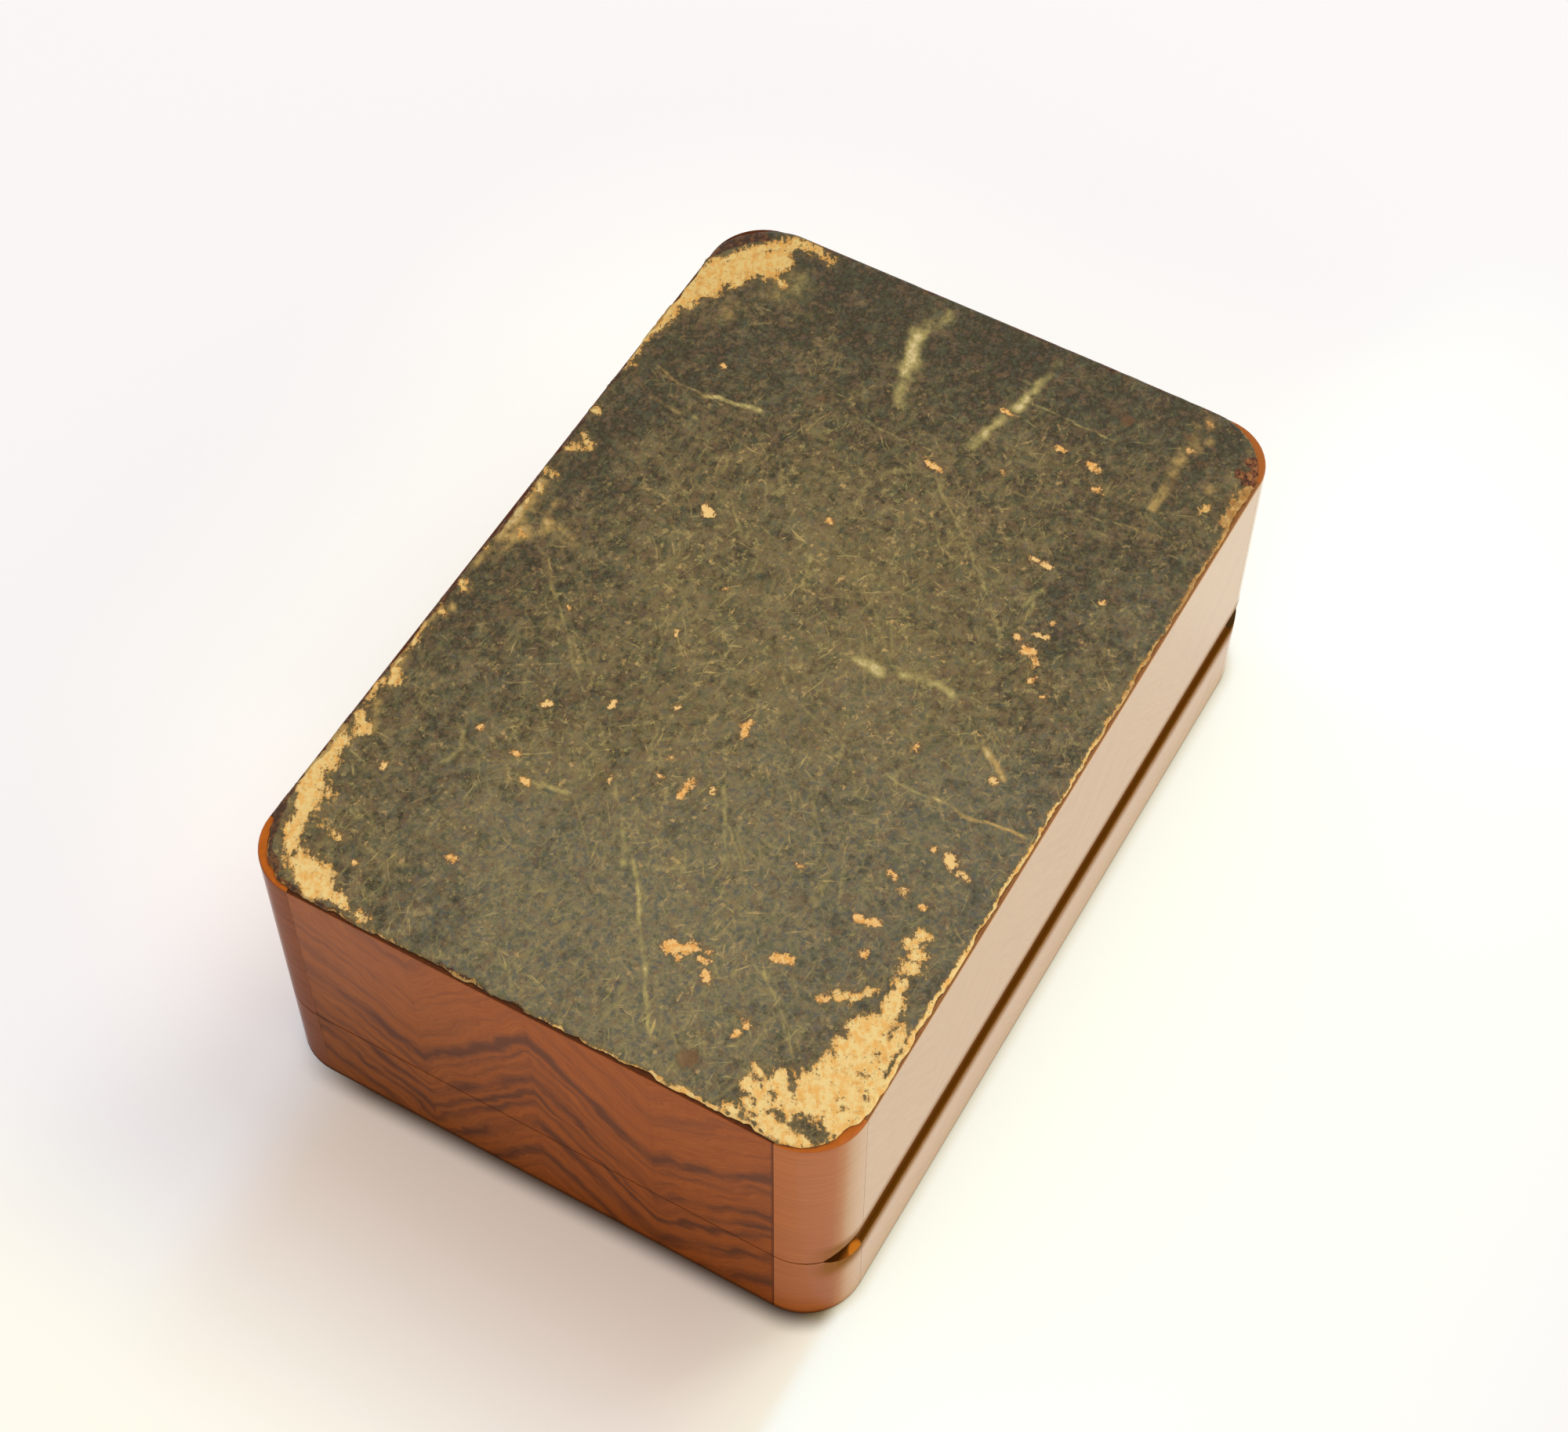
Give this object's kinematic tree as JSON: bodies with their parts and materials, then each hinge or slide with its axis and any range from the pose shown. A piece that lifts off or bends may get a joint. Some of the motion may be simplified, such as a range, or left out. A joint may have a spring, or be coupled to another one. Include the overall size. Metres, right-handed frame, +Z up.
{
  "type": "hinged marquetry box",
  "caption": "Small veneered marquetry box with rounded corners, a hinged lid, a bevelled hinge side and a leather-papered base, closed and lying on its lid.",
  "frame": {"origin": "middle of the box on the surface that its lid's face lies on", "axes": "+X along the length, +Y to the hinged back, +Z up through the base, because the box lies upside down as in the picture"},
  "size_m": [0.102, 0.0692, 0.0385],
  "materials": {
    "side_veneer": "varnished rosewood veneer with dark streaks, book-matched into zigzags",
    "corner_veneer": "varnished plain veneer, bent round the corners",
    "crossband_veneer": "varnished veneer, grain across the band",
    "field_veneer": "varnished quarter-matched veneer",
    "boxwood": "varnished pale boxwood",
    "carcass_wood": "bare, waxed on the rims",
    "leather_paper": "dark green, worn through to tan at the corners and in scratches",
    "velvet_lining": "short crimson pile",
    "hinge_brass": "aged, satin"
  },
  "bodies": {
    "lid": {"lid_front_wall": "carcass_wood", "lid_back_wall": "carcass_wood", "lid_left_wall": "carcass_wood", "lid_right_wall": "carcass_wood", "lid_board": "carcass_wood", "lid_veneer_front": "side_veneer", "lid_veneer_back": "side_veneer", "lid_veneer_left": "side_veneer", "lid_veneer_right": "side_veneer", "lid_corner_veneer_front_left": "corner_veneer", "lid_corner_veneer_front_right": "corner_veneer", "lid_corner_veneer_back_left": "corner_veneer", "lid_corner_veneer_back_right": "corner_veneer", "lid_crossband_front": "crossband_veneer", "lid_crossband_back": "crossband_veneer", "lid_crossband_left": "crossband_veneer", "lid_crossband_right": "crossband_veneer", "lid_stringing_front": "boxwood", "lid_stringing_back": "boxwood", "lid_stringing_left": "boxwood", "lid_stringing_right": "boxwood", "lid_leaf_front_left": "field_veneer", "lid_leaf_front_right": "field_veneer", "lid_leaf_back_left": "field_veneer", "lid_leaf_back_right": "field_veneer", "lid_lozenge": "boxwood", "lid_panel_lining": "velvet_lining", "lid_wall_lining": "velvet_lining", "left_hinge_lid_leaf": "hinge_brass", "left_hinge_pin": "hinge_brass", "left_hinge_lid_screw_1": "hinge_brass", "left_hinge_lid_screw_2": "hinge_brass", "right_hinge_lid_leaf": "hinge_brass", "right_hinge_pin": "hinge_brass", "right_hinge_lid_screw_1": "hinge_brass", "right_hinge_lid_screw_2": "hinge_brass"},
    "case": {"case_front_wall": "carcass_wood", "case_back_wall": "carcass_wood", "case_left_wall": "carcass_wood", "case_right_wall": "carcass_wood", "case_base_board": "carcass_wood", "case_base_cover": "leather_paper", "case_veneer_front": "side_veneer", "case_veneer_back": "side_veneer", "case_veneer_left": "side_veneer", "case_veneer_right": "side_veneer", "case_corner_veneer_front_left": "corner_veneer", "case_corner_veneer_front_right": "corner_veneer", "case_corner_veneer_back_left": "corner_veneer", "case_corner_veneer_back_right": "corner_veneer", "case_floor_lining": "velvet_lining", "case_wall_lining": "velvet_lining", "left_hinge_case_leaf": "hinge_brass", "left_hinge_case_screw_1": "hinge_brass", "left_hinge_case_screw_2": "hinge_brass", "right_hinge_case_leaf": "hinge_brass", "right_hinge_case_screw_1": "hinge_brass", "right_hinge_case_screw_2": "hinge_brass"}
  },
  "joints": [
    {"name": "case_hinge", "type": "hinge", "parent": "lid", "child": "case", "pos_m": [0, 0.0331, 0.01255], "axis": [-1, 0, 0], "range_deg": [0, 100]}
  ]
}
